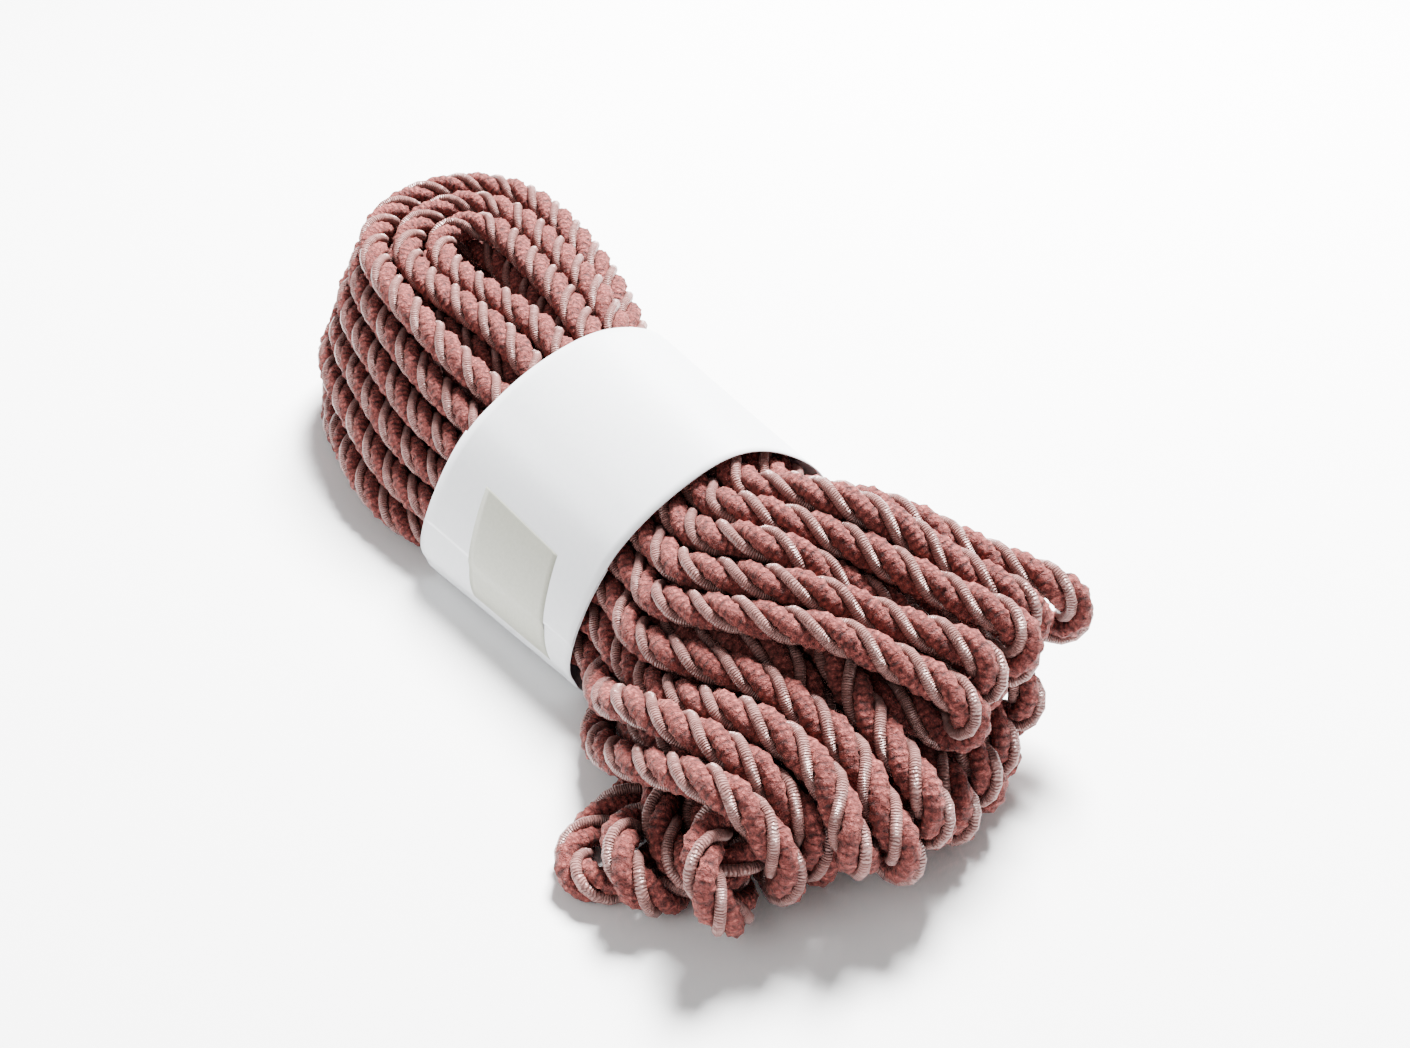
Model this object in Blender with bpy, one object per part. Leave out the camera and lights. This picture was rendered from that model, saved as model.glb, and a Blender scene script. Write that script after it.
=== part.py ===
"""A hank of thick twisted cord, wound in twenty turns and tied round its waist by a paper band closed with tape.

The hank lies along X: its coiled end at -X, its fanned loop tips at +X, its underside on z = 0.
All tables are in cord diameters, taken from the middle of the band; CORD makes them metres.
"""
import bpy
import bmesh
import numpy as np
from mathutils import Vector

# Driving sizes
CORD = 0.0106                 # the cord's diameter
TUBE = 0.462                  # radius of the solid cord, in cord diameters: a little slack between runs
FLAT = 0.035                  # depth of the flat that the lowest runs of the solid cord rest on
SIDES = 7                     # sides of the solid cord
LONGEST = 2.2                 # longest straight piece of the solid cord, in cord diameters
SHORTER = 0.9                 # the same where the cord passes an edge of the band
SHARPEST = 28.0               # largest turn between two rings of the solid cord, in degrees
PAPER = 0.0010                # thickness of the band
TAPE = 0.0010                 # thickness of the tape
AIR = 0.0003                  # gap between neighbouring pieces
HALF_BAND = 3.5               # half the band's width
WAIST = 3.7                   # where the runs start to leave the band
HELD = 4.3                    # half the length that the band holds together
CENTRE = (-1.337, 1.239)        # middle of the whole hank seen from above, moved to the origin

# The band's outline: y and z on its edge at the coiled end, then on its edge at the fanned end
SECTION = (
    (-3.40, 0.00, -1.90, 0.00),
    (-4.50, 0.70, -2.90, 0.70),
    (-4.30, 2.00, -2.85, 1.90),
    (-3.15, 4.10, -2.05, 3.65),
    (-1.70, 5.50, -0.80, 5.15),
    (0.00, 6.40, 1.00, 6.20),
    (1.70, 6.72, 2.40, 6.45),
    (3.30, 6.20, 3.75, 5.90),
    (4.20, 4.90, 4.90, 4.75),
    (4.45, 3.10, 5.20, 3.00),
    (4.10, 1.20, 4.80, 1.20),
    (2.90, 0.00, 3.30, 0.00),
)
HEART = (0.5, 3.2)            # a point inside the outline, from which its radii are measured
SEAM = 2.0                    # row of SECTION where the outer end of the band stops
HIDDEN = 3.3                  # row of SECTION where the inner end of the band starts

# Coiled end, bottom layer to top
LAYERS = (
    # loops, first radius, middle y, height, reach, flare of the left leg
    (2, 3.10, -0.50, 0.50, 15.0, -6.4),
    (3, 2.00, -0.45, 1.42, 13.7, -5.0),
    (3, 1.90, -0.45, 2.36, 13.6, -3.0),
    (3, 1.70, -0.22, 3.30, 13.5, -1.4),
    (3, 1.50, 0.05, 4.24, 13.4, -1.0),
    (3, 1.25, 0.32, 5.16, 13.2, -0.6),
    (3, 1.10, 0.58, 6.06, 12.9, -0.3),
)
NEST = 1.35                   # further reach of each loop outside another
OVAL = 1.25                   # length of a coiled end's round part over its width

# The coiled loops in the order that the cord takes them: layer, place in the nest
ORDER = (
    (1, 1), (2, 2), (2, 1), (3, 2), (3, 1), (4, 2), (4, 1), (5, 2), (5, 1), (6, 2),
    (6, 1), (7, 2), (7, 1), (7, 0), (6, 0), (5, 0), (4, 0), (3, 0), (2, 0), (1, 0),
)

# The fanned loops in the same order; each joins one coiled loop to the next.
# Roll 0 lays a loop's two legs side by side, 90 puts one over the other.
FINGERS = (
    # tip x, y, z, heading, dip, roll, point on the way
    (12.6, -1.9, 1.0, 0, 4, 120, (7.5, -2.6, 1.1)),
    (11.4, -3.6, 0.6, -54, 0, 20, (9.0, -0.2, 0.6)),
    (12.7, -0.8, 1.0, 0, 6, 115, (7.5, -1.9, 2.0)),
    (9.5, 6.0, 0.9, 24, 4, 90, None),
    (13.5, -0.3, 1.4, 6, 6, 110, None),
    (13.0, 4.3, 1.2, 8, 8, 90, None),
    (14.3, 0.6, 1.8, 8, 8, 110, None),
    (12.3, 5.3, 1.0, 14, 14, 90, None),
    (12.6, 3.8, 3.2, 26, 8, 100, None),
    (12.0, 5.9, 1.9, 20, 14, 80, None),
    (12.2, 4.7, 3.8, 28, 8, 95, None),
    (11.0, 8.4, 3.7, 36, 8, 90, None),
    (11.8, 5.8, 3.9, 28, 10, 80, None),
    (10.8, 7.0, 3.8, 32, 10, 90, None),
    (14.0, 1.8, 2.0, 4, 14, 90, None),
    (13.5, 3.1, 1.1, 6, 14, 90, None),
    (12.0, -3.0, 0.7, -26, 8, 90, (9.0, -0.7, 1.5)),
    (11.1, -5.0, 0.5, -64, 0, 0, (9.2, 0.2, 0.5)),
    (9.8, -6.0, 0.5, -72, 0, 0, (8.4, -0.6, 0.5)),
)
BEND = 0.60                   # radius of a fanned loop's turn

# Spacing out the runs
STEP = 0.5                    # distance between the points along the cord
APART = 1.03                  # distance kept between points of neighbouring runs
ROUNDS = 400
PAPER_ROOM = 0.65             # from the band's outside to the middle of a run


def outline(x, rows):
    """Points of the band's outline at x, at the given rows of SECTION (part rows run between them)."""
    f = np.clip((x + HALF_BAND) / (2 * HALF_BAND), 0, 1)
    knots = np.array([(a + (c - a) * f, b + (d - b) * f) for a, b, c, d in SECTION])
    rows = np.asarray(rows, float) % len(knots)
    i = rows.astype(int)
    s = (rows - i)[:, None]
    before, here, after, beyond = (knots[(i + k) % len(knots)] for k in (-1, 0, 1, 2))
    curve = 0.5 * (2 * here + (after - before) * s + (2 * before - 5 * here + 4 * after - beyond) * s ** 2
                   + (3 * here - before - 3 * after + beyond) * s ** 3)
    curve[:, 1] = np.maximum(curve[:, 1], 0.0)
    return curve


def room(x):
    """How far from the heart a run's middle may be at x, so that it keeps off the band: angles and distances."""
    rows = np.arange(0, len(SECTION), 0.125)
    curve = outline(x, rows) - HEART
    along = outline(x, rows + 0.02) - outline(x, rows - 0.02)
    reach = np.hypot(curve[:, 0], curve[:, 1])
    slope = np.abs(curve[:, 1] * along[:, 0] - curve[:, 0] * along[:, 1]) / reach / np.hypot(along[:, 0], along[:, 1])
    angle = np.arctan2(curve[:, 1], curve[:, 0])
    order = np.argsort(angle)
    return angle[order], (reach - PAPER_ROOM / slope)[order]


def keep_inside(points, edges):
    """Push the points of the waist inside the band."""
    out = points - (0, *HEART)
    angle = np.arctan2(out[:, 2], out[:, 1])
    reach = np.hypot(out[:, 1], out[:, 2])
    f = np.clip((points[:, 0] + HALF_BAND) / (2 * HALF_BAND), 0, 1)
    limit = ((1 - f) * np.interp(angle, *edges[0], period=2 * np.pi)
             + f * np.interp(angle, *edges[1], period=2 * np.pi))
    out[:, 1:] *= np.where(reach > limit, limit / np.maximum(reach, 1e-9), 1.0)[:, None]
    return out + (0, *HEART)


def waist_places(x):
    """Where each loop's left and right legs pass the band's edge at x: seven rows that fill the outline."""
    curve = outline(x, np.arange(0, len(SECTION), 0.125))
    after = np.roll(curve, -1, axis=0)
    heights = np.linspace(0.62, curve[:, 1].max() - 0.66, len(LAYERS))
    places = {}
    for layer, z in enumerate(heights, 1):
        cross = (curve[:, 1] - z) * (after[:, 1] - z) <= 0
        here, there = curve[cross], after[cross]
        ys = here[:, 0] + (there[:, 0] - here[:, 0]) * (z - here[:, 1]) / (there[:, 1] - here[:, 1] + 1e-12)
        loops = [(layer, 0), (layer, 1)] + ([(layer + 1, 2)] if layer < len(LAYERS) else [])
        row = np.linspace(ys.min() + 0.66, ys.max() - 0.66, 2 * len(loops))
        for nest, loop in enumerate(loops):
            places["left", loop] = np.array([row[len(loops) - 1 - nest], z])
            places["right", loop] = np.array([row[len(loops) + nest], z])
    return places


def sweep(start, out, end, into, count):
    """A smooth curve between two points with a direction at each."""
    s = np.linspace(0, 1, count)[:, None]
    return ((2 * s ** 3 - 3 * s ** 2 + 1) * start + (s ** 3 - 2 * s ** 2 + s) * out
            + (3 * s ** 2 - 2 * s ** 3) * end + (s ** 3 - s ** 2) * into)


def coiled_loop(loop, places):
    """A loop of the coiled end, from its left leg round to its right leg."""
    layer, nest = loop
    _, first, middle, z, reach, flare = LAYERS[layer - 1]
    r = first + nest
    x = OVAL * r - reach - NEST * nest
    turn = np.radians(np.linspace(-90, 90, 21))
    arc = np.stack([x - OVAL * r * np.cos(turn), middle + r * np.sin(turn) + 0.45 * np.cos(turn),
                    np.full(21, z)], 1)
    length = abs(x + WAIST)
    left = np.array([-WAIST, *places["left", loop]])
    right = np.array([-WAIST, *places["right", loop]])
    leg_in = sweep(left, np.array([-0.9 * length, flare, 0]), arc[0], np.array([-length, 0.4, 0]), 14)
    leg_out = sweep(arc[-1], np.array([length, 0.4, 0]), right, np.array([0.9 * length, -0.6, 0]), 14)
    return np.vstack([leg_in[:-1], arc, leg_out[1:]])


def fanned_loop(row, place_in, place_out):
    """A loop of the fanned end: out from one place of the waist, round its tip, and back to the other."""
    x, y, z, heading, dip, roll, way = row
    heading, dip, roll = np.radians((heading, dip, roll))
    ahead = np.array([np.cos(heading) * np.cos(dip), np.sin(heading) * np.cos(dip), -np.sin(dip)])
    side = np.array([-np.sin(heading), np.cos(heading), 0.0])
    across = side * np.cos(roll) + np.cross(ahead, side) * np.sin(roll)
    start = np.array([WAIST, *place_in])
    end = np.array([WAIST, *place_out])
    if (start - end) @ across < 0:
        across = -across
    centre = np.array([x, y, z]) - ahead * BEND
    turn = np.radians(np.linspace(90, -90, 9))[:, None]
    arc = centre + ahead * BEND * np.cos(turn) + across * BEND * np.sin(turn)

    def leg(root, sign):
        foot = centre + sign * across * BEND - ahead * 0.8
        gap = foot - root
        length = np.linalg.norm(gap)
        out = np.array([0.6 * length, 0, 0]) + 0.35 * gap
        if way is None:
            return sweep(root, out, foot, ahead * length * 0.9, 16)
        stop = np.array(way) + sign * across * BEND
        first, second = np.linalg.norm(stop - root), np.linalg.norm(foot - stop)
        along = gap / length
        return np.vstack([sweep(root, np.array([first, 0, 0]), stop, along * first, 10)[:-1],
                          sweep(stop, along * second, foot, ahead * second, 10)])

    return np.vstack([leg(start, 1), arc, leg(end, -1)[::-1]])


def even_steps(line, step):
    """The same line with its points a step apart."""
    line = line[np.concatenate([[True], np.linalg.norm(np.diff(line, axis=0), axis=1) > 1e-6])]
    along = np.concatenate([[0], np.cumsum(np.linalg.norm(np.diff(line, axis=0), axis=1))])
    places = np.linspace(0, along[-1], int(round(along[-1] / step)) + 1)
    return np.stack([np.interp(places, along, line[:, i]) for i in range(3)], 1)


def wound_line():
    """The cord's middle line as wound, before its runs are spaced out. Both ends stop inside the band."""
    coiled, fanned = waist_places(-HALF_BAND), waist_places(HALF_BAND)
    side = "right"
    pieces = [np.array([[2.2, *coiled[side, ORDER[0]]]])]
    for i, loop in enumerate(ORDER):
        turn = coiled_loop(loop, coiled)
        pieces.append(turn if side == "left" else turn[::-1])
        side = "left" if side == "right" else "right"
        if i < len(FINGERS):
            pieces.append(fanned_loop(FINGERS[i], fanned[side, loop], fanned[side, ORDER[i + 1]]))
    pieces.append(np.array([[2.2, *coiled[side, ORDER[-1]]]]))
    return even_steps(np.vstack(pieces), STEP)


def spaced_out(line):
    """Move the runs apart until none passes through another, the band holds the waist and none is under z = 0."""
    home, count = line.copy(), len(line)
    edges = (room(-HALF_BAND), room(HALF_BAND))
    for turn in range(ROUNDS):
        if turn % 8 == 0:
            small = line.astype(np.float32)
            square = (small * small).sum(1)
            near = square[:, None] + square[None, :] - 2 * small @ small.T < 1.6 ** 2
            first, second = np.nonzero(np.triu(near, 3))
        bow = np.zeros_like(line)
        bow[1:-1] = 0.5 * (line[:-2] + line[2:]) - line[1:-1]
        ease = np.zeros_like(line)
        ease[1:-1] = 0.5 * (bow[:-2] + bow[2:]) - bow[1:-1]
        pull = 0.03 * (0.15 + max(0.0, 1.0 - turn / (0.75 * ROUNDS)))
        line = line - 0.45 * ease + 0.02 * bow
        line = line + pull * (home - line)
        for _ in range(4):
            gap = line[first] - line[second]
            size = np.sqrt((gap * gap).sum(1))
            close = size < APART
            push = gap[close] * (0.5 * (APART - size[close]) / np.maximum(size[close], 1e-6))[:, None]
            move, hits = np.zeros_like(line), np.zeros(count)
            np.add.at(move, first[close], push)
            np.add.at(move, second[close], -push)
            np.add.at(hits, first[close], 1)
            np.add.at(hits, second[close], 1)
            line = line + 1.5 * move / np.maximum(hits, 1)[:, None]
            held = np.abs(line[:, 0]) < HELD
            line[held] = keep_inside(line[held], edges)
            line[:, 2] = np.maximum(line[:, 2], np.where(held, TUBE + 0.14, TUBE))
    return line


def ring_places(line):
    """Indices of the points that get a ring: close together where the cord turns, far apart where it runs on."""
    step = np.diff(line, axis=0)
    ahead = step / np.linalg.norm(step, axis=1)[:, None]
    keep = [0]
    for i in range(1, len(line) - 1):
        since = ahead[keep[-1]] @ ahead[i]
        length = np.linalg.norm(step[keep[-1]:i], axis=1).sum()
        longest = SHORTER if 2.6 < abs(line[i, 0]) < 4.6 else LONGEST
        if np.degrees(np.arccos(np.clip(since, -1, 1))) > SHARPEST or length > longest - STEP / 2:
            keep.append(i)
    return keep + [len(line) - 1]


def add_object(name, mesh_data, colour, roughness):
    """Make an object and its material from a bmesh."""
    bmesh.ops.recalc_face_normals(mesh_data, faces=mesh_data.faces)
    mesh = bpy.data.meshes.new(name)
    mesh_data.to_mesh(mesh)
    mesh_data.free()
    thing = bpy.data.objects.new(name, mesh)
    bpy.context.collection.objects.link(thing)
    material = bpy.data.materials.new(name)
    material.use_nodes = True
    shader = material.node_tree.nodes["Principled BSDF"]
    shader.inputs["Base Color"].default_value = (*colour, 1.0)
    shader.inputs["Roughness"].default_value = roughness
    mesh.materials.append(material)
    return thing


def metres(point):
    """From cord diameters about the band to metres about the hank's middle."""
    return Vector(((point[0] - CENTRE[0]) * CORD, (point[1] - CENTRE[1]) * CORD, point[2] * CORD))


def make_hank(line):
    """The whole cord as one closed tube along its settled line."""
    points = line[ring_places(line)]
    work = bmesh.new()
    ahead = np.gradient(points, axis=0)
    ahead /= np.linalg.norm(ahead, axis=1)[:, None]
    side = np.cross(ahead[0], (0, 0, 1))
    rings = []
    for point, way in zip(points, ahead):
        side = side - way * (side @ way)
        side /= np.linalg.norm(side)
        up = np.cross(way, side)
        ring = []
        for k in range(SIDES):
            turn = 2 * np.pi * k / SIDES
            spot = point + TUBE * (side * np.cos(turn) + up * np.sin(turn))
            if spot[2] < FLAT and abs(spot[0]) > HALF_BAND + 0.3:
                spot[2] = 0.0
            ring.append(work.verts.new(metres(spot)))
        rings.append(ring)
    for here, there in zip(rings[:-1], rings[1:]):
        for k in range(SIDES):
            work.faces.new((here[k], here[(k + 1) % SIDES], there[(k + 1) % SIDES], there[k]))
    work.faces.new(rings[0][::-1])
    work.faces.new(rings[-1])
    bmesh.ops.triangulate(work, faces=work.faces)
    return add_object("hank", work, (0.55, 0.24, 0.23), 0.8)


def strip(name, rows, lifts, sides, thickness, colour, roughness):
    """A bent sheet that follows the band's outline: a station a row, lifted off it, between two x."""
    work = bmesh.new()
    stations = []
    for i, (row, lift, (x0, x1)) in enumerate(zip(rows, lifts, sides)):
        corners = []
        for x in (x0, x1):
            here = outline(x, [row])[0]
            near = outline(x, [row - 0.02, row + 0.02])
            along = near[1] - near[0]
            out = np.array([-along[1], along[0]]) / np.linalg.norm(along)
            for rise in (lift, lift - thickness / CORD):
                spot = here + out * rise
                corners.append(work.verts.new(metres((x, spot[0], max(spot[1], 0.0)))))
        stations.append((corners[0], corners[1], corners[3], corners[2]))
    for here, there in zip(stations[:-1], stations[1:]):
        for k in range(4):
            work.faces.new((here[k], here[(k + 1) % 4], there[(k + 1) % 4], there[k]))
    work.faces.new(stations[0])
    work.faces.new(stations[-1][::-1])
    bmesh.ops.triangulate(work, faces=work.faces)
    return add_object(name, work, colour, roughness)


def ramp(value, low, high):
    """0 below low, 1 above high, smooth between."""
    t = min(max((value - low) / (high - low), 0.0), 1.0)
    return t * t * (3 - 2 * t)


def make_band():
    """The paper band: from its hidden inner end down the left side, under, up and over to the seam."""
    rise = (PAPER + AIR) / CORD
    rows = np.linspace(HIDDEN, SEAM - len(SECTION), 80)
    lifts = [rise * ramp(-(row + len(SECTION)), -(HIDDEN + 0.75), -(HIDDEN + 0.15)) for row in rows]
    sides = [(-HALF_BAND - 0.14 * ramp(row, 0.4, SEAM), HALF_BAND) for row in rows]
    return strip("band", rows, lifts, sides, PAPER, (0.86, 0.87, 0.89), 0.6)


def make_tape():
    """The tape over the seam, half on the band's outer end and half below it."""
    rise = (PAPER + AIR) / CORD
    rows = np.linspace(SEAM + 0.95, SEAM - 0.82, 20)
    lifts = [(AIR + TAPE) / CORD + rise * ramp(row, SEAM - 0.3, SEAM - 0.05) for row in rows]
    sides = [(-1.28 + 0.45 * (SEAM - row), 2.25 + 0.45 * (SEAM - row)) for row in rows]
    return strip("tape", rows, lifts, sides, TAPE, (0.62, 0.61, 0.52), 0.45)


for old in list(bpy.data.objects):
    bpy.data.objects.remove(old, do_unlink=True)

make_hank(spaced_out(wound_line()))
make_band()
make_tape()
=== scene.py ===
"""A hank of four-strand furnishing cord, coiled at one end and fanned at the other, in a taped paper band.

The cord's middle line is worked out in cord diameters from the middle of the band, as in the solid,
and its strands are laid round it: two smooth satin ones between two knobbly crepe ones.
"""

import bmesh
import bpy
import numpy as np
from mathutils import Matrix, Vector


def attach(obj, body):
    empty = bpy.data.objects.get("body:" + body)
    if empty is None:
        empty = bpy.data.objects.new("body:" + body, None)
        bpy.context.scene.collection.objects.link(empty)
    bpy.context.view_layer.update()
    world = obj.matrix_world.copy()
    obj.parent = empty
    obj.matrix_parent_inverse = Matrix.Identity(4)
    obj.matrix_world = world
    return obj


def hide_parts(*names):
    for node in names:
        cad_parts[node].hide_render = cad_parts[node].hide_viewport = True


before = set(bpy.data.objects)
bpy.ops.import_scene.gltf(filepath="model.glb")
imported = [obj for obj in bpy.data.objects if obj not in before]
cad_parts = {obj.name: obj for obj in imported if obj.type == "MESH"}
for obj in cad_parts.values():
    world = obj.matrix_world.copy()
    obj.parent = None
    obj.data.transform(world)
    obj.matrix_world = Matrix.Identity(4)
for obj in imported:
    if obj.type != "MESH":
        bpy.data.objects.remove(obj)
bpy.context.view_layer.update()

# Driving sizes
CORD = 0.0106                 # the cord's diameter
TUBE = 0.462                  # height of the lowest runs' middles, in cord diameters
HALF_BAND = 3.5               # half the band's width
WAIST = 3.7                   # where the runs start to leave the band
HELD = 4.3                    # half the length that the band holds together
CENTRE = (-1.337, 1.239)      # middle of the whole hank seen from above, moved to the origin

# The band's outline: y and z on its edge at the coiled end, then on its edge at the fanned end
SECTION = (
    (-3.40, 0.00, -1.90, 0.00),
    (-4.50, 0.70, -2.90, 0.70),
    (-4.30, 2.00, -2.85, 1.90),
    (-3.15, 4.10, -2.05, 3.65),
    (-1.70, 5.50, -0.80, 5.15),
    (0.00, 6.40, 1.00, 6.20),
    (1.70, 6.72, 2.40, 6.45),
    (3.30, 6.20, 3.75, 5.90),
    (4.20, 4.90, 4.90, 4.75),
    (4.45, 3.10, 5.20, 3.00),
    (4.10, 1.20, 4.80, 1.20),
    (2.90, 0.00, 3.30, 0.00),
)
HEART = (0.5, 3.2)            # a point inside the outline, from which its radii are measured
SEAM = 2.0                    # row of SECTION where the outer end of the band stops
HIDDEN = 3.3                  # row of SECTION where the inner end of the band starts

# Coiled end, bottom layer to top
LAYERS = (
    # loops, first radius, middle y, height, reach, flare of the left leg
    (2, 3.10, -0.50, 0.50, 15.0, -6.4),
    (3, 2.00, -0.45, 1.42, 13.7, -5.0),
    (3, 1.90, -0.45, 2.36, 13.6, -3.0),
    (3, 1.70, -0.22, 3.30, 13.5, -1.4),
    (3, 1.50, 0.05, 4.24, 13.4, -1.0),
    (3, 1.25, 0.32, 5.16, 13.2, -0.6),
    (3, 1.10, 0.58, 6.06, 12.9, -0.3),
)
NEST = 1.35                   # further reach of each loop outside another
OVAL = 1.25                   # length of a coiled end's round part over its width

# The coiled loops in the order that the cord takes them: layer, place in the nest
ORDER = (
    (1, 1), (2, 2), (2, 1), (3, 2), (3, 1), (4, 2), (4, 1), (5, 2), (5, 1), (6, 2),
    (6, 1), (7, 2), (7, 1), (7, 0), (6, 0), (5, 0), (4, 0), (3, 0), (2, 0), (1, 0),
)

# The fanned loops in the same order; each joins one coiled loop to the next.
# Roll 0 lays a loop's two legs side by side, 90 puts one over the other.
FINGERS = (
    # tip x, y, z, heading, dip, roll, point on the way
    (12.6, -1.9, 1.0, 0, 4, 120, (7.5, -2.6, 1.1)),
    (11.4, -3.6, 0.6, -54, 0, 20, (9.0, -0.2, 0.6)),
    (12.7, -0.8, 1.0, 0, 6, 115, (7.5, -1.9, 2.0)),
    (9.5, 6.0, 0.9, 24, 4, 90, None),
    (13.5, -0.3, 1.4, 6, 6, 110, None),
    (13.0, 4.3, 1.2, 8, 8, 90, None),
    (14.3, 0.6, 1.8, 8, 8, 110, None),
    (12.3, 5.3, 1.0, 14, 14, 90, None),
    (12.6, 3.8, 3.2, 26, 8, 100, None),
    (12.0, 5.9, 1.9, 20, 14, 80, None),
    (12.2, 4.7, 3.8, 28, 8, 95, None),
    (11.0, 8.4, 3.7, 36, 8, 90, None),
    (11.8, 5.8, 3.9, 28, 10, 80, None),
    (10.8, 7.0, 3.8, 32, 10, 90, None),
    (14.0, 1.8, 2.0, 4, 14, 90, None),
    (13.5, 3.1, 1.1, 6, 14, 90, None),
    (12.0, -3.0, 0.7, -26, 8, 90, (9.0, -0.7, 1.5)),
    (11.1, -5.0, 0.5, -64, 0, 0, (9.2, 0.2, 0.5)),
    (9.8, -6.0, 0.5, -72, 0, 0, (8.4, -0.6, 0.5)),
)
BEND = 0.60                   # radius of a fanned loop's turn

# Spacing out the runs
STEP = 0.5                    # distance between the points along the cord
APART = 1.03                  # distance kept between points of neighbouring runs
ROUNDS = 400                  # how often the runs are moved apart
PAPER_ROOM = 0.65             # from the band's outside to the middle of a run

# The strands, in cord diameters
STRAND_SIDES = 8              # points round each ring, as the curve's bevel makes them
LAY = 2.80                    # length of one full turn of the twist
CREPE = 0.258                 # radius of a crepe strand
CREPE_OUT = 0.232             # from the cord's middle to the middle of a crepe strand
SATIN = 0.148                 # radius of a satin strand
SATIN_OUT = 0.345             # from the cord's middle to the middle of a satin strand
KNOB = 0.150                  # length along the cord of one knob of the crepe
KNOB_LENGTHS = (0.88, 1.12)   # shortest and longest knob, as parts of KNOB
KNOB_SIZES = (0.96, 1.03)     # thinnest and thickest knob, as parts of CREPE
KNOB_RINGS = (0.92, 0.995, 0.995)  # radius of the rings of a knob, as parts of the strand's radius
LUMP = 0.110                  # how far the crepe's knobs stand in and out, as a part of its radius
LUMP_SPREAD = 0.4             # how much that varies from point to point
PLAIN_CREPE = (0.95 * CREPE, 0.7, 0.0)  # radius, crest and lump where a crepe strand has no knobs
FINE = 0.05                   # distance between the points of the smooth middle line
SATIN_STEP = 0.22             # distance along the cord between rings of a satin strand
COARSE_STEP = 0.40            # the same where no strand can be seen
TURNS_A_PIECE = 3             # turns of the hank in each mesh

# What can be seen of the cord, in cord diameters
WAYS = 96                     # directions tried from each point
FAR = 8.0                     # runs further off than this hide nothing
HIDES = 0.36                  # a run this close to a way out blocks it
OWN = 3                       # points on either side that belong to the same run
AROUND = 9                    # points that count as seen round a seen one
UNDER_PAPER = 0.6             # how far under the band's edge the cord may still be seen

# The camera, as fitted to the photograph
PHOTO = (1410, 1048)          # the photograph's size in pixels
FOCAL = 1550.0                # focal length in pixels
AZIMUTH = 61.0
ELEVATION = 38.0
AIM_PIXEL = (609, 498)        # the pixel that shows the point AIM
AIM = (0.0, 0.0, 3.55)        # middle of the band, in cord diameters
DEPTH = 44.0                  # distance from the camera to AIM along the view, in cord diameters

# The band and the tape: thicknesses in metres, places in cord diameters and rows of SECTION
PAPER_SHEET = 0.00030         # thickness of the paper
LAP = 0.00050                 # how far the outer end of the band stands off at its lap
FLARE = 0.14                  # how far the lap's corner at the coiled end stands out past the band's edge
FLARE_ROW = 0.4               # row where that starts
BAND_GRID = (240, 24)         # stations round the band, pieces across it
TAPE_FILM = 0.00012           # thickness of the tape
TAPE_LIFT = 0.012             # air under the tape, in cord diameters
TAPE_ROWS = (SEAM + 0.95, SEAM - 0.82)  # the tape's upper and lower end
TAPE_EDGES = (-1.28, 2.25)    # x of its two long edges at the seam
TAPE_LEAN = 0.45              # how far its edges lean for each row
TAPE_GRID = (60, 16)          # stations along the tape, pieces across it


def outline(x, rows):
    """Points of the band's outline at x, at the given rows of SECTION (part rows run between them)."""
    f = np.clip((x + HALF_BAND) / (2 * HALF_BAND), 0, 1)
    knots = np.array([(a + (c - a) * f, b + (d - b) * f) for a, b, c, d in SECTION])
    rows = np.asarray(rows, float) % len(knots)
    i = rows.astype(int)
    s = (rows - i)[:, None]
    before, here, after, beyond = (knots[(i + k) % len(knots)] for k in (-1, 0, 1, 2))
    curve = 0.5 * (2 * here + (after - before) * s + (2 * before - 5 * here + 4 * after - beyond) * s ** 2
                   + (3 * here - before - 3 * after + beyond) * s ** 3)
    curve[:, 1] = np.maximum(curve[:, 1], 0.0)
    return curve


def room(x):
    """How far from the heart a run's middle may be at x to keep off the band: angles and distances."""
    rows = np.arange(0, len(SECTION), 0.125)
    curve = outline(x, rows) - HEART
    along = outline(x, rows + 0.02) - outline(x, rows - 0.02)
    reach = np.hypot(curve[:, 0], curve[:, 1])
    slope = (np.abs(curve[:, 1] * along[:, 0] - curve[:, 0] * along[:, 1])
             / reach / np.hypot(along[:, 0], along[:, 1]))
    angle = np.arctan2(curve[:, 1], curve[:, 0])
    order = np.argsort(angle)
    return angle[order], (reach - PAPER_ROOM / slope)[order]


def keep_inside(points, edges):
    """Push the points of the waist inside the band."""
    out = points - (0, *HEART)
    angle = np.arctan2(out[:, 2], out[:, 1])
    reach = np.hypot(out[:, 1], out[:, 2])
    f = np.clip((points[:, 0] + HALF_BAND) / (2 * HALF_BAND), 0, 1)
    limit = ((1 - f) * np.interp(angle, *edges[0], period=2 * np.pi)
             + f * np.interp(angle, *edges[1], period=2 * np.pi))
    out[:, 1:] *= np.where(reach > limit, limit / np.maximum(reach, 1e-9), 1.0)[:, None]
    return out + (0, *HEART)


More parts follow.
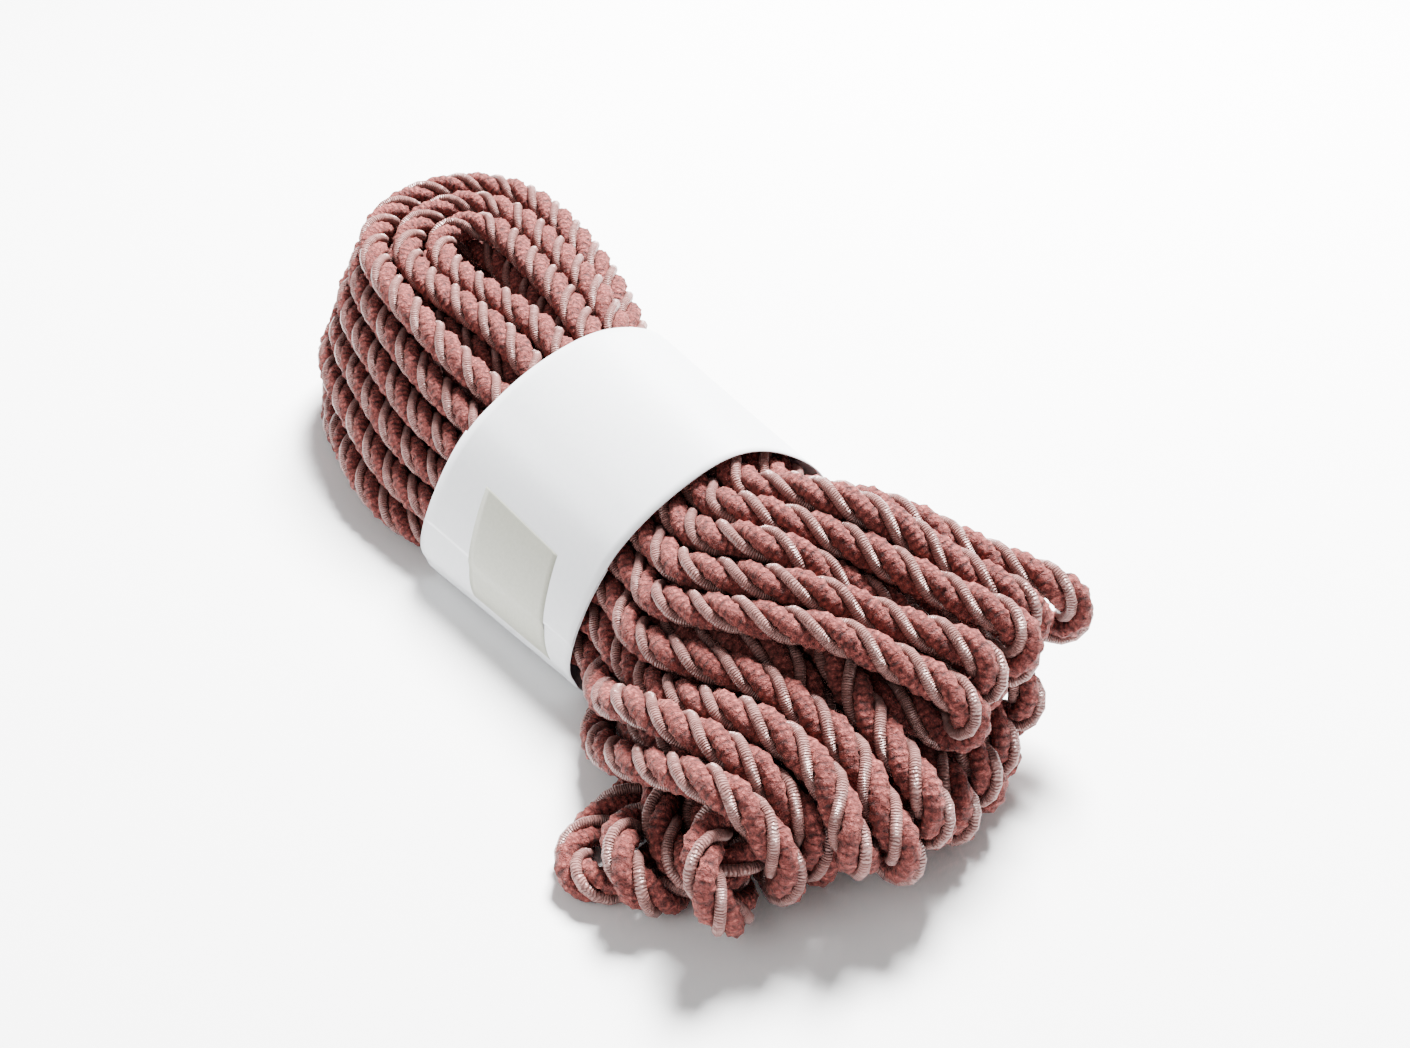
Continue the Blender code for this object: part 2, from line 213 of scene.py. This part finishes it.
def waist_places(x):
    """Where each loop's left and right legs pass the band's edge at x: seven rows that fill the outline."""
    curve = outline(x, np.arange(0, len(SECTION), 0.125))
    after = np.roll(curve, -1, axis=0)
    heights = np.linspace(0.62, curve[:, 1].max() - 0.66, len(LAYERS))
    places = {}
    for layer, z in enumerate(heights, 1):
        cross = (curve[:, 1] - z) * (after[:, 1] - z) <= 0
        here, there = curve[cross], after[cross]
        ys = here[:, 0] + (there[:, 0] - here[:, 0]) * (z - here[:, 1]) / (there[:, 1] - here[:, 1] + 1e-12)
        loops = [(layer, 0), (layer, 1)] + ([(layer + 1, 2)] if layer < len(LAYERS) else [])
        row = np.linspace(ys.min() + 0.66, ys.max() - 0.66, 2 * len(loops))
        for nest, loop in enumerate(loops):
            places["left", loop] = np.array([row[len(loops) - 1 - nest], z])
            places["right", loop] = np.array([row[len(loops) + nest], z])
    return places


def sweep(start, out, end, into, count):
    """A smooth curve between two points with a direction at each."""
    s = np.linspace(0, 1, count)[:, None]
    return ((2 * s ** 3 - 3 * s ** 2 + 1) * start + (s ** 3 - 2 * s ** 2 + s) * out
            + (3 * s ** 2 - 2 * s ** 3) * end + (s ** 3 - s ** 2) * into)


def coiled_loop(loop, places):
    """A loop of the coiled end, from its left leg round to its right leg."""
    layer, nest = loop
    _, first, middle, z, reach, flare = LAYERS[layer - 1]
    r = first + nest
    x = OVAL * r - reach - NEST * nest
    turn = np.radians(np.linspace(-90, 90, 21))
    arc = np.stack([x - OVAL * r * np.cos(turn), middle + r * np.sin(turn) + 0.45 * np.cos(turn),
                    np.full(21, z)], 1)
    length = abs(x + WAIST)
    left = np.array([-WAIST, *places["left", loop]])
    right = np.array([-WAIST, *places["right", loop]])
    leg_in = sweep(left, np.array([-0.9 * length, flare, 0]), arc[0], np.array([-length, 0.4, 0]), 14)
    leg_out = sweep(arc[-1], np.array([length, 0.4, 0]), right, np.array([0.9 * length, -0.6, 0]), 14)
    return np.vstack([leg_in[:-1], arc, leg_out[1:]])


def fanned_loop(row, place_in, place_out):
    """A loop of the fanned end: out from one place of the waist, round its tip, and back to the other."""
    x, y, z, heading, dip, roll, way = row
    heading, dip, roll = np.radians((heading, dip, roll))
    ahead = np.array([np.cos(heading) * np.cos(dip), np.sin(heading) * np.cos(dip), -np.sin(dip)])
    side = np.array([-np.sin(heading), np.cos(heading), 0.0])
    across = side * np.cos(roll) + np.cross(ahead, side) * np.sin(roll)
    start = np.array([WAIST, *place_in])
    end = np.array([WAIST, *place_out])
    if (start - end) @ across < 0:
        across = -across
    centre = np.array([x, y, z]) - ahead * BEND
    turn = np.radians(np.linspace(90, -90, 9))[:, None]
    arc = centre + ahead * BEND * np.cos(turn) + across * BEND * np.sin(turn)

    def leg(root, sign):
        foot = centre + sign * across * BEND - ahead * 0.8
        gap = foot - root
        length = np.linalg.norm(gap)
        out = np.array([0.6 * length, 0, 0]) + 0.35 * gap
        if way is None:
            return sweep(root, out, foot, ahead * length * 0.9, 16)
        stop = np.array(way) + sign * across * BEND
        first, second = np.linalg.norm(stop - root), np.linalg.norm(foot - stop)
        along = gap / length
        return np.vstack([sweep(root, np.array([first, 0, 0]), stop, along * first, 10)[:-1],
                          sweep(stop, along * second, foot, ahead * second, 10)])

    return np.vstack([leg(start, 1), arc, leg(end, -1)[::-1]])


def even_steps(line, step):
    """The same line with its points a step apart."""
    line = line[np.concatenate([[True], np.linalg.norm(np.diff(line, axis=0), axis=1) > 1e-6])]
    along = np.concatenate([[0], np.cumsum(np.linalg.norm(np.diff(line, axis=0), axis=1))])
    places = np.linspace(0, along[-1], int(round(along[-1] / step)) + 1)
    return np.stack([np.interp(places, along, line[:, i]) for i in range(3)], 1)


def wound_line():
    """The cord's middle line as wound, before its runs are spaced out. Both ends stop inside the band."""
    coiled, fanned = waist_places(-HALF_BAND), waist_places(HALF_BAND)
    side = "right"
    pieces = [np.array([[2.2, *coiled[side, ORDER[0]]]])]
    for i, loop in enumerate(ORDER):
        turn = coiled_loop(loop, coiled)
        pieces.append(turn if side == "left" else turn[::-1])
        side = "left" if side == "right" else "right"
        if i < len(FINGERS):
            pieces.append(fanned_loop(FINGERS[i], fanned[side, loop], fanned[side, ORDER[i + 1]]))
    pieces.append(np.array([[2.2, *coiled[side, ORDER[-1]]]]))
    return even_steps(np.vstack(pieces), STEP)


def spaced_out(line):
    """Move the runs apart, so that none passes through another, leaves the band or is under z = 0."""
    home, count = line.copy(), len(line)
    edges = (room(-HALF_BAND), room(HALF_BAND))
    for turn in range(ROUNDS):
        if turn % 8 == 0:
            small = line.astype(np.float32)
            square = (small * small).sum(1)
            near = square[:, None] + square[None, :] - 2 * small @ small.T < 1.6 ** 2
            first, second = np.nonzero(np.triu(near, 3))
        bow = np.zeros_like(line)
        bow[1:-1] = 0.5 * (line[:-2] + line[2:]) - line[1:-1]
        ease = np.zeros_like(line)
        ease[1:-1] = 0.5 * (bow[:-2] + bow[2:]) - bow[1:-1]
        pull = 0.03 * (0.15 + max(0.0, 1.0 - turn / (0.75 * ROUNDS)))
        line = line - 0.45 * ease + 0.02 * bow
        line = line + pull * (home - line)
        for _ in range(4):
            gap = line[first] - line[second]
            size = np.sqrt((gap * gap).sum(1))
            close = size < APART
            push = gap[close] * (0.5 * (APART - size[close]) / np.maximum(size[close], 1e-6))[:, None]
            move, hits = np.zeros_like(line), np.zeros(count)
            np.add.at(move, first[close], push)
            np.add.at(move, second[close], -push)
            np.add.at(hits, first[close], 1)
            np.add.at(hits, second[close], 1)
            line = line + 1.5 * move / np.maximum(hits, 1)[:, None]
            held = np.abs(line[:, 0]) < HELD
            line[held] = keep_inside(line[held], edges)
            line[:, 2] = np.maximum(line[:, 2], np.where(held, TUBE + 0.14, TUBE))
    return line


def metres(points):
    """From cord diameters about the band to metres about the hank's middle."""
    points = np.asarray(points, float)
    return (points - (CENTRE[0], CENTRE[1], 0.0)) * CORD


# The cord's course

def smooth_line(line):
    """A fine curve through the middle line's points: length so far, points, two directions across it.

    The two directions turn with the curve and do not twist about it.
    """
    index = np.arange(len(line) - 1)
    before, here, after, beyond = (line[np.clip(index + k, 0, len(line) - 1)] for k in (-1, 0, 1, 2))
    count = int(round(STEP / FINE))
    rows = []
    for s in np.arange(count) / count:
        rows.append(0.5 * (2 * here + (after - before) * s
                           + (2 * before - 5 * here + 4 * after - beyond) * s ** 2
                           + (3 * here - before - 3 * after + beyond) * s ** 3))
    fine = np.stack(rows, 1).reshape(-1, 3)
    ahead = np.gradient(fine, axis=0)
    ahead /= np.linalg.norm(ahead, axis=1)[:, None]
    side = np.empty_like(fine)
    side[0] = np.cross(ahead[0], (0, 0, 1))
    side[0] /= np.linalg.norm(side[0])
    for i in range(1, len(fine)):
        turned = side[i - 1] - ahead[i] * (side[i - 1] @ ahead[i])
        side[i] = turned / np.sqrt(turned @ turned)
    along = np.concatenate([[0], np.cumsum(np.linalg.norm(np.diff(fine, axis=0), axis=1))])
    return along, fine, side, np.cross(ahead, side)


def can_be_seen(line):
    """For each point of the middle line, whether any way out from it misses the other runs and the band."""
    turn = np.pi * (3 - np.sqrt(5)) * np.arange(WAYS)
    height = 1 - (np.arange(WAYS) + 0.5) / (WAYS / 2)
    level = np.sqrt(1 - height ** 2)
    ways = np.stack([np.cos(turn) * level, np.sin(turn) * level, height], 1)
    seen = np.zeros(len(line), bool)
    for i, point in enumerate(line):
        away = line - point
        away = away[(np.abs(np.arange(len(line)) - i) > OWN) & ((away * away).sum(1) < FAR ** 2)]
        ahead = away @ ways.T
        off = (away * away).sum(1)[:, None] - ahead ** 2
        blocked = ((ahead > 0.5) & (off < HIDES ** 2)).any(0)
        seen[i] = not blocked.all()
    seen &= np.abs(line[:, 0]) > HALF_BAND - UNDER_PAPER
    return np.convolve(seen, np.ones(AROUND), "same") > 0


def turn_starts(line):
    """Indices of the points at the middle of the band where each turn of the hank begins."""
    side = line[:, 0] > 0
    return np.nonzero(side[:-1] & ~side[1:])[0]


# The strands

def strand_curve(name, strands, material):
    """A mesh of round tubes, one a strand. A strand is its points and radii in metres, crests and lumps."""
    curve = bpy.data.curves.new(name, "CURVE")
    curve.dimensions = "3D"
    curve.bevel_depth = 1.0
    curve.bevel_resolution = 2
    curve.use_fill_caps = True
    for points, radii, _, _ in strands:
        spline = curve.splines.new("POLY")
        spline.points.add(len(points) - 1)
        spline.points.foreach_set("co", np.column_stack([points, np.ones(len(points))]).ravel())
        spline.points.foreach_set("radius", radii)
    loose = bpy.data.objects.new(name + "_curve", curve)
    bpy.context.collection.objects.link(loose)
    made = loose.evaluated_get(bpy.context.evaluated_depsgraph_get())
    mesh = bpy.data.meshes.new_from_object(made)
    mesh.name = name
    bpy.data.objects.remove(loose)
    bpy.data.curves.remove(curve)
    piece = bpy.data.objects.new(name, mesh)
    bpy.context.collection.objects.link(piece)
    mesh.materials.clear()
    mesh.materials.append(material)
    mesh.polygons.foreach_set("use_smooth", np.ones(len(mesh.polygons), bool))
    push_knobs(mesh, strands)
    measure_strands(mesh, strands)
    return piece


def push_knobs(mesh, strands):
    """Push each ring in and out round the strand, so that the knobs of one row lie between the next row's.

    The end caps' points come first in the mesh, so each swell lands a few rings before its own place.
    """
    spots = np.empty(len(mesh.vertices) * 3)
    mesh.vertices.foreach_get("co", spots)
    spots = spots.reshape(-1, 3)
    dice = np.random.default_rng(5)
    first = 0
    for points, _, _, lumps in strands:
        last = first + len(points) * STRAND_SIDES
        ring = spots[first:last].reshape(-1, STRAND_SIDES, 3)
        uneven = dice.uniform(-LUMP_SPREAD, LUMP_SPREAD, ring.shape[:2])
        swell = lumps[:, None] * ((-1.0) ** np.arange(STRAND_SIDES) + uneven)
        ring += (ring - points[:, None]) * swell[:, :, None]
        first = last
    mesh.vertices.foreach_set("co", spots.ravel())


def measure_strands(mesh, strands):
    """Give a strand mesh two attributes: how far along its strand a point is in mm, how high on a knob.

    As in push_knobs, each value lands a few rings before its own place.
    """
    along, crest = [], []
    for points, _, knob, _ in strands:
        step = np.linalg.norm(np.diff(points, axis=0), axis=1)
        along.append(np.repeat(np.concatenate([[0], np.cumsum(step)]) * 1000, STRAND_SIDES))
        crest.append(np.repeat(knob, STRAND_SIDES))
    for name, parts in (("along", along), ("crest", crest)):
        parts = np.concatenate(parts)
        values = np.zeros(len(mesh.vertices), np.float32)
        values[:len(parts)] = parts
        mesh.attributes.new(name, "FLOAT", "POINT").data.foreach_set("value", values)


def along_strand(course, places, out, phase):
    """Points of a strand at the given places along the cord, in metres."""
    along, fine, side, up = course
    angle = 2 * np.pi * places / LAY + phase

    def at(values):
        return np.stack([np.interp(places, along, values[:, k]) for k in range(3)], 1)

    spots = at(fine) + out * (np.cos(angle)[:, None] * at(side) + np.sin(angle)[:, None] * at(up))
    return metres(spots)


def crepe_strand(course, start, stop, phase, seen, dice):
    """One crepe strand between two places along the cord: knob after knob where it shows, plain elsewhere."""
    rings = []
    s = start
    way = LUMP
    while s < stop:
        if seen(s):
            length = KNOB * dice.uniform(*KNOB_LENGTHS)
            size = CREPE * dice.uniform(*KNOB_SIZES)
            for k, swell in enumerate(KNOB_RINGS):
                height = np.sin(np.pi * k / len(KNOB_RINGS))
                rings.append((s + length * k / len(KNOB_RINGS), size * swell, height, way * height))
            way = -way
            s += length
        else:
            rings.append((s, *PLAIN_CREPE))
            s += COARSE_STEP
    rings.append((stop, *PLAIN_CREPE))
    places, radii, crest, lumps = np.array(rings).T
    return along_strand(course, places, CREPE_OUT, phase), radii * CORD, crest, lumps


def satin_strand(course, start, stop, phase, seen):
    """One satin strand between two places along the cord."""
    places = []
    s = start
    while s < stop:
        places.append(s)
        s += SATIN_STEP if seen(s) else COARSE_STEP
    places = np.array(places + [stop])
    radii = np.full(len(places), SATIN * CORD)
    return along_strand(course, places, SATIN_OUT, phase), radii, np.ones(len(places)), np.zeros(len(places))


def make_cord(crepe, satin):
    """The whole cord, in pieces of a few turns each: one mesh of crepe strands and one of satin strands."""
    line = spaced_out(wound_line())
    course = smooth_line(line)
    shows = can_be_seen(line)
    reached = course[0][::int(round(STEP / FINE))]

    def seen(s):
        return shows[np.searchsorted(reached[1:], s)]

    cuts = [0.0, *reached[turn_starts(line)][TURNS_A_PIECE::TURNS_A_PIECE], course[0][-1]]
    dice = np.random.default_rng(12)
    for number, (start, stop) in enumerate(zip(cuts[:-1], cuts[1:]), 1):
        crepes = [crepe_strand(course, start, stop, phase, seen, dice) for phase in (0, np.pi)]
        satins = [satin_strand(course, start, stop, phase, seen) for phase in (np.pi / 2, 3 * np.pi / 2)]
        for name, strands, material in (("crepe", crepes, crepe), ("satin", satins, satin)):
            piece = strand_curve(f"{name}_strands_{number}", strands, material)
            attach(piece, "root")
            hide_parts("hank")


# The band and its tape

def bent_sheet(name, rows, lifts, sides, thickness, material, across):
    """A sheet that follows the band's outline: a station a row, lifted off it, between two x."""
    work = bmesh.new()
    stations = []
    for row, lift, (x0, x1) in zip(rows, lifts, sides):
        station = []
        for x in np.linspace(x0, x1, across + 1):
            here = outline(x, [row])[0]
            near = outline(x, [row - 0.02, row + 0.02])
            slope = near[1] - near[0]
            out = np.array([-slope[1], slope[0]]) / np.linalg.norm(slope)
            spot = here + out * lift
            station.append(work.verts.new(metres((x, spot[0], max(spot[1], 0.0)))))
        stations.append(station)
    for here, there in zip(stations[:-1], stations[1:]):
        for k in range(across):
            work.faces.new((here[k], here[k + 1], there[k + 1], there[k]))
    mesh = bpy.data.meshes.new(name)
    work.to_mesh(mesh)
    work.free()
    mesh.materials.append(material)
    mesh.polygons.foreach_set("use_smooth", np.ones(len(mesh.polygons), bool))
    piece = bpy.data.objects.new(name, mesh)
    bpy.context.collection.objects.link(piece)
    thick = piece.modifiers.new("thickness", "SOLIDIFY")
    thick.thickness = thickness
    thick.offset = -1.0
    return piece


def ramp(value, low, high):
    """0 below low, 1 above high, smooth between."""
    t = min(max((value - low) / (high - low), 0.0), 1.0)
    return t * t * (3 - 2 * t)


def make_band(paper):
    """The paper band: from its hidden inner end down the left side, under, up and over to the seam."""
    stations, across = BAND_GRID
    rows = np.linspace(HIDDEN, SEAM - len(SECTION), stations)
    lifts = [LAP / CORD * ramp(-(row + len(SECTION)), -(HIDDEN + 0.75), -(HIDDEN + 0.15)) for row in rows]
    sides = [(-HALF_BAND - FLARE * ramp(row, FLARE_ROW, SEAM), HALF_BAND) for row in rows]
    band = bent_sheet("paper_band", rows, lifts, sides, PAPER_SHEET, paper, across)
    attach(band, "root")
    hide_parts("band")


def make_tape(film):
    """The tape over the seam, half on the band's outer end and half below it."""
    stations, across = TAPE_GRID
    rows = np.linspace(*TAPE_ROWS, stations)
    lifts = [TAPE_FILM / CORD + TAPE_LIFT + LAP / CORD * ramp(row, SEAM - 0.2, SEAM - 0.02) for row in rows]
    sides = [[edge + TAPE_LEAN * (SEAM - row) for edge in TAPE_EDGES] for row in rows]
    tape = bent_sheet("adhesive_tape", rows, lifts, sides, TAPE_FILM, film, across)
    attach(tape, "root")
    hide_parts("tape")


# Materials

def new_material(name):
    """A material with its node tree, its shader and a helper that adds a node."""
    material = bpy.data.materials.new(name)
    material.use_nodes = True
    tree = material.node_tree
    shader = tree.nodes["Principled BSDF"]

    def add(kind, **settings):
        node = tree.nodes.new(kind)
        for key, value in settings.items():
            setattr(node, key, value)
        return node

    return material, tree, shader, add


def put(node, **values):
    """Set a node's inputs by name; an underscore stands for a space."""
    for key, value in values.items():
        node.inputs[key.replace("_", " ")].default_value = value
    return node


def maths(tree, operation, first, second=None):
    """The output of a new maths node fed with two sockets or numbers."""
    node = tree.nodes.new("ShaderNodeMath")
    node.operation = operation
    for socket, value in zip(node.inputs, (first, second)):
        if isinstance(value, (int, float)):
            socket.default_value = value
        elif value is not None:
            tree.links.new(value, socket)
    return node.outputs[0]


def fibre_group():
    """Fine threads laid round a strand: their height, and a shade that varies from thread to thread."""
    group = bpy.data.node_groups.new("laid_threads", "ShaderNodeTree")
    for name, start in (("Pitch", 0.4), ("Wander", 0.3), ("Scale", 900.0)):
        socket = group.interface.new_socket(name, in_out="INPUT", socket_type="NodeSocketFloat")
        socket.default_value = start
    for name in ("Height", "Shade"):
        group.interface.new_socket(name, in_out="OUTPUT", socket_type="NodeSocketFloat")
    nodes, links = group.nodes, group.links
    into, outof = nodes.new("NodeGroupInput"), nodes.new("NodeGroupOutput")
    along = nodes.new("ShaderNodeAttribute")
    along.attribute_name = "along"
    place = nodes.new("ShaderNodeTexCoord")
    drift = put(nodes.new("ShaderNodeTexNoise"), Detail=2.0)
    links.new(place.outputs["Object"], drift.inputs["Vector"])
    links.new(into.outputs["Scale"], drift.inputs["Scale"])

    lean = maths(group, "MULTIPLY", drift.outputs["Fac"], into.outputs["Wander"])
    threads = maths(group, "DIVIDE", maths(group, "ADD", along.outputs["Fac"], lean), into.outputs["Pitch"])
    ridge = maths(group, "PINGPONG", threads, 0.5)
    links.new(maths(group, "MULTIPLY", ridge, 2.0), outof.inputs["Height"])
    number = maths(group, "FLOOR", threads)
    random = nodes.new("ShaderNodeTexWhiteNoise")
    random.noise_dimensions = "1D"
    links.new(number, random.inputs["W"])
    links.new(random.outputs["Value"], outof.inputs["Shade"])
    return group


def crepe_material(threads):
    """Matte, fuzzy, knobbly dusty rose yarn with tiny glints."""
    material, tree, shader, add = new_material("rose_crepe")
    put(shader, Roughness=0.60, Sheen_Weight=0.10, Sheen_Roughness=0.5)
    shader.inputs["Sheen Tint"].default_value = (1.0, 0.62, 0.54, 1.0)
    shader.inputs["Specular IOR Level"].default_value = 0.14
    place = add("ShaderNodeTexCoord")
    crest = add("ShaderNodeAttribute", attribute_name="crest")
    lay = add("ShaderNodeGroup", node_tree=threads)
    put(lay, Pitch=0.55, Wander=2.2, Scale=1400.0)
    curls = put(add("ShaderNodeTexNoise"), Scale=1500.0, Detail=3.0, Roughness=0.65)
    tree.links.new(place.outputs["Object"], curls.inputs["Vector"])
    loops = put(add("ShaderNodeTexVoronoi"), Scale=720.0)
    tree.links.new(place.outputs["Object"], loops.inputs["Vector"])
    height = maths(tree, "MULTIPLY", crest.outputs["Fac"], 0.22)
    height = maths(tree, "ADD", height, maths(tree, "MULTIPLY", curls.outputs["Fac"], 0.62))
    height = maths(tree, "ADD", height, maths(tree, "MULTIPLY", lay.outputs["Height"], 0.12))
    height = maths(tree, "SUBTRACT", height, maths(tree, "MULTIPLY", loops.outputs["Distance"], 0.42))
    # The ramp colours the yarn from this height. It paints shade, darkest in the hollows between knobs, curls
    # and loops, and a highlight, lightest on their crests, over the yarn's own uneven rose.
    tone = add("ShaderNodeValToRGB")
    tone.color_ramp.elements[0].position = 0.04
    tone.color_ramp.elements[0].color = (0.030, 0.005, 0.005, 1)
    tone.color_ramp.elements[1].position = 0.62
    tone.color_ramp.elements[1].color = (0.44, 0.122, 0.102, 1)
    tone.color_ramp.elements.new(0.36).color = (0.175, 0.037, 0.032, 1)
    tree.links.new(height, tone.inputs["Fac"])
    tree.links.new(tone.outputs["Color"], shader.inputs["Base Color"])
    bump = put(add("ShaderNodeBump"), Strength=1.0, Distance=0.0011)
    tree.links.new(height, bump.inputs["Height"])
    tree.links.new(bump.outputs["Normal"], shader.inputs["Normal"])
    return material


def satin_material(threads):
    """Pale, silky thread wrapped round and round its strand."""
    material, tree, shader, add = new_material("pale_pink_satin")
    put(shader, Roughness=0.37)
    shader.inputs["Specular IOR Level"].default_value = 0.72
    shader.inputs["Specular Tint"].default_value = (1.0, 0.76, 0.72, 1.0)
    lay = add("ShaderNodeGroup", node_tree=threads)
    put(lay, Pitch=0.62, Wander=1.1, Scale=420.0)
    # The ramp gives each thread a tone that varies at random from thread to thread. It also paints shade in
    # the grooves between threads and a highlight on their tops.
    tone = add("ShaderNodeValToRGB")
    tone.color_ramp.elements[0].color = (0.062, 0.021, 0.019, 1)
    tone.color_ramp.elements[1].color = (0.275, 0.128, 0.114, 1)
    thread_tone_and_painted_shade = maths(tree, "MULTIPLY", lay.outputs["Shade"], 0.45)
    thread_tone_and_painted_shade = maths(tree, "ADD", thread_tone_and_painted_shade, maths(tree, "MULTIPLY", lay.outputs["Height"], 0.62))
    tree.links.new(thread_tone_and_painted_shade, tone.inputs["Fac"])
    tree.links.new(tone.outputs["Color"], shader.inputs["Base Color"])
    bump = put(add("ShaderNodeBump"), Strength=1.0, Distance=0.00027)
    tree.links.new(lay.outputs["Height"], bump.inputs["Height"])
    tree.links.new(bump.outputs["Normal"], shader.inputs["Normal"])
    return material


def paper_grain_group():
    """Shared by the band and the tape: a faint cloudy grain, as a height."""
    group = bpy.data.node_groups.new("faint_grain", "ShaderNodeTree")
    group.interface.new_socket("Scale", in_out="INPUT", socket_type="NodeSocketFloat").default_value = 400.0
    group.interface.new_socket("Height", in_out="OUTPUT", socket_type="NodeSocketFloat")
    nodes, links = group.nodes, group.links
    into, outof = nodes.new("NodeGroupInput"), nodes.new("NodeGroupOutput")
    place = nodes.new("ShaderNodeTexCoord")
    grain = put(nodes.new("ShaderNodeTexNoise"), Detail=4.0, Roughness=0.6)
    links.new(place.outputs["Object"], grain.inputs["Vector"])
    links.new(into.outputs["Scale"], grain.inputs["Scale"])
    links.new(grain.outputs["Fac"], outof.inputs["Height"])
    return group


def plain_material(name, grain, scale, low, high, roughness, depth):
    """A sheet material between two near shades."""
    material, tree, shader, add = new_material(name)
    put(shader, Roughness=roughness)
    cloud = add("ShaderNodeGroup", node_tree=grain)
    put(cloud, Scale=scale)
    tone = add("ShaderNodeValToRGB")
    tone.color_ramp.elements[0].position = 0.3
    tone.color_ramp.elements[0].color = (*low, 1)
    tone.color_ramp.elements[1].position = 0.7
    tone.color_ramp.elements[1].color = (*high, 1)
    tree.links.new(cloud.outputs["Height"], tone.inputs["Fac"])
    tree.links.new(tone.outputs["Color"], shader.inputs["Base Color"])
    bump = put(add("ShaderNodeBump"), Strength=0.3, Distance=depth)
    tree.links.new(cloud.outputs["Height"], bump.inputs["Height"])
    tree.links.new(bump.outputs["Normal"], shader.inputs["Normal"])
    return material


# The stage

def make_floor():
    """A plain pale floor."""
    work = bmesh.new()
    bmesh.ops.create_grid(work, x_segments=1, y_segments=1, size=3.0)
    mesh = bpy.data.meshes.new("floor")
    work.to_mesh(mesh)
    work.free()
    floor = bpy.data.objects.new("floor", mesh)
    bpy.context.collection.objects.link(floor)
    material, _, shader, _ = new_material("pale_floor")
    put(shader, Roughness=0.9)
    shader.inputs["Base Color"].default_value = (0.92, 0.92, 0.92, 1)
    mesh.materials.append(material)


def make_light(name, azimuth, elevation, distance, size, power):
    """A square soft light that faces the hank."""
    light = bpy.data.lights.new(name, "AREA")
    light.size = size
    light.energy = power
    lamp = bpy.data.objects.new(name, light)
    turn, rise = np.radians(azimuth), np.radians(elevation)
    way = Vector((np.cos(turn) * np.cos(rise), np.sin(turn) * np.cos(rise), np.sin(rise)))
    lamp.location = way * distance
    lamp.rotation_euler = way.to_track_quat("Z", "Y").to_euler()
    bpy.context.collection.objects.link(lamp)


def make_camera():
    """The camera at the photograph's viewpoint."""
    turn, rise = np.radians(AZIMUTH), np.radians(ELEVATION)
    ahead = np.array([-np.sin(turn) * np.cos(rise), np.cos(turn) * np.cos(rise), -np.sin(rise)])
    right = np.array([np.cos(turn), np.sin(turn), 0.0])
    up = np.cross(right, ahead)
    across = (AIM_PIXEL[0] - PHOTO[0] / 2) / FOCAL
    down = (AIM_PIXEL[1] - PHOTO[1] / 2) / FOCAL
    place = np.array(AIM) - (ahead + across * right - down * up) * DEPTH
    lens = bpy.data.cameras.new("camera")
    lens.sensor_width = 36.0
    lens.lens = 36.0 * FOCAL / PHOTO[0]
    lens.clip_start = 0.01
    camera = bpy.data.objects.new("camera", lens)
    turned = Matrix((right, up, -ahead)).transposed().to_4x4()
    camera.matrix_world = Matrix.Translation(metres(place)) @ turned
    bpy.context.collection.objects.link(camera)
    bpy.context.scene.camera = camera


def make_world():
    """Even white light from all round."""
    world = bpy.data.worlds.new("studio")
    world.use_nodes = True
    put(world.node_tree.nodes["Background"], Color=(1.0, 1.0, 1.0, 1.0), Strength=0.5)
    bpy.context.scene.world = world


make_camera()
make_world()
make_floor()
make_light("key", azimuth=128, elevation=56, distance=1.3, size=0.45, power=205)
make_light("front", azimuth=-80, elevation=42, distance=1.6, size=1.0, power=8)
laid_threads = fibre_group()
grain = paper_grain_group()
make_cord(crepe_material(laid_threads), satin_material(laid_threads))
make_band(plain_material("white_paper", grain, scale=500.0, low=(0.66, 0.675, 0.70), high=(0.70, 0.712, 0.73),
                         roughness=0.55, depth=0.00004))
make_tape(plain_material("matte_tape", grain, scale=900.0, low=(0.33, 0.335, 0.275), high=(0.38, 0.385, 0.32),
                         roughness=0.40, depth=0.00003))
